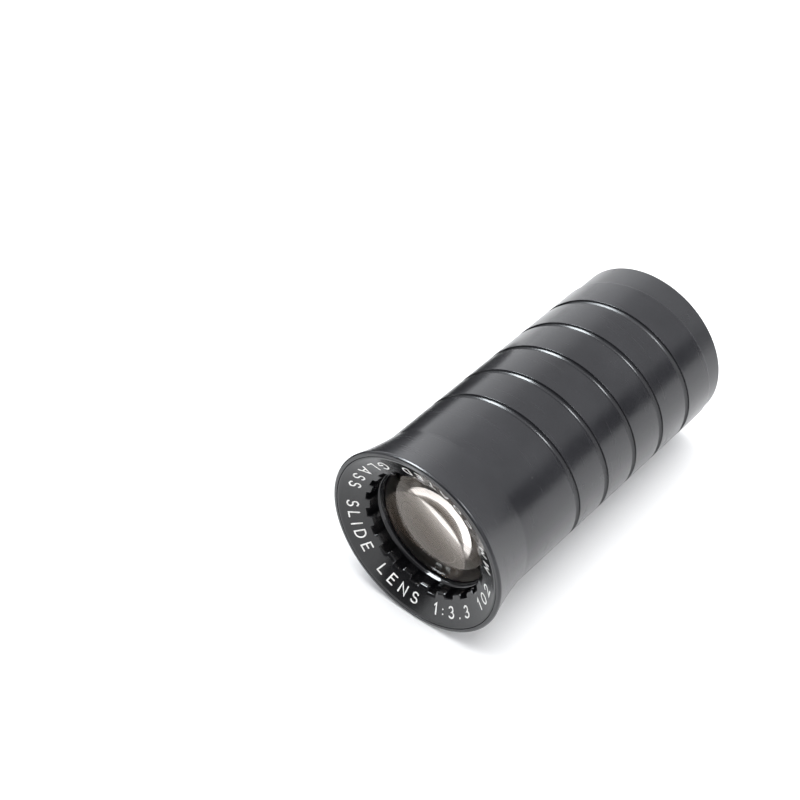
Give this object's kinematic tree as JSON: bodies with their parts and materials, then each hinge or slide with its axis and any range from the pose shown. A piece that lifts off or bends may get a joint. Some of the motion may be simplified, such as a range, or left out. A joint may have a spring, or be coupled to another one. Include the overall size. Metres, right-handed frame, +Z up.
{
  "type": "projection lens",
  "caption": "Projection lens: moulded black barrel with a bell front and a helical focusing groove, glasses stacked in a cell, and threaded name and retaining rings.",
  "frame": {"origin": "on the optical axis, half way along the barrel", "axes": "+Y along the optical axis from the lettered front to the rear, +Z up as the lens lies on a table, +X to the right seen from the front"},
  "size_m": [0.0496, 0.0936, 0.0496],
  "materials": {
    "moulded_black": "satin gloss, moulded phenolic",
    "gloss_black": "gloss",
    "black_anodised": "black anodised, satin",
    "matt_black_metal": "matt black paint",
    "fibre": "vulcanised fibre, matt",
    "optical_glass": "polished, warm-toned coating"
  },
  "bodies": {
    "barrel": {"barrel": "moulded_black", "lens_cell": "black_anodised", "front_element": "optical_glass", "front_spacer": "matt_black_metal", "middle_element": "optical_glass", "aperture_stop": "matt_black_metal", "rear_spacer": "matt_black_metal", "rear_element": "optical_glass"},
    "front_slip_ring": {"front_slip_ring": "gloss_black"},
    "name_ring": {"name_ring": "moulded_black"},
    "rear_washer": {"rear_washer": "fibre"},
    "rear_retaining_ring": {"rear_retaining_ring": "black_anodised"}
  },
  "joints": [
    {"name": "name_ring_travel", "type": "slide", "parent": "barrel", "child": "front_slip_ring", "axis": [0, -1, 0], "range_m": [0, 0.005]},
    {"name": "name_ring_turn", "type": "hinge", "parent": "front_slip_ring", "child": "name_ring", "pos_m": [0, -0.0428, 0], "axis": [0, -1, 0], "range_deg": [0, 1440]},
    {"name": "rear_ring_travel", "type": "slide", "parent": "barrel", "child": "rear_washer", "axis": [0, 1, 0], "range_m": [0, 0.006]},
    {"name": "rear_ring_turn", "type": "hinge", "parent": "rear_washer", "child": "rear_retaining_ring", "pos_m": [0, -0.0048, 0], "axis": [0, 1, 0], "range_deg": [0, 2160]}
  ],
  "couplings": [
    {"joint": "name_ring_travel", "follows": "name_ring_turn", "m_per_rad": 0.00019894},
    {"joint": "rear_ring_travel", "follows": "rear_ring_turn", "m_per_rad": 0.00015915}
  ]
}
